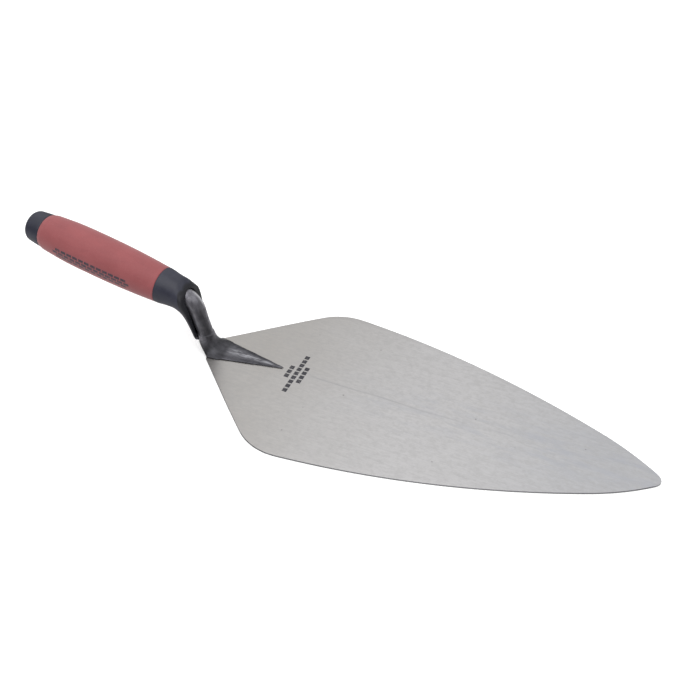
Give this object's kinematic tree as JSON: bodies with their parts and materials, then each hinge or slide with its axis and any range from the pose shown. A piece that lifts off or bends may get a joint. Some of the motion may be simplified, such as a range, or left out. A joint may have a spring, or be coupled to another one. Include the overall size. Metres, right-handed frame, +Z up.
{
  "type": "brick trowel",
  "caption": "Long-pattern brick trowel: flat taper-ground steel blade, gooseneck shank, finger guard and soft barrel grip.",
  "frame": {"origin": "on the flat underside of the blade, on its centreline, 12 mm inside the heel edge, below the foot of the shank", "axes": "+X from the heel to the toe along the blade, +Z up out of the blade's top face, Y = 0 the plane of symmetry; the handle runs back towards -X and rises"},
  "size_m": [0.4825, 0.156, 0.0874],
  "materials": {
    "ground_steel": "fine ground, satin",
    "forged_steel": "dark forge scale",
    "handle_plastic": "moulded",
    "guard_plastic": "moulded, satin",
    "grip_rubber": "soft, matte"
  },
  "bodies": {
    "root": {"blade": "ground_steel", "shank": "forged_steel", "handle_core": "handle_plastic", "finger_guard": "guard_plastic", "grip_sleeve": "grip_rubber", "butt_cap": "guard_plastic"}
  },
  "joints": []
}
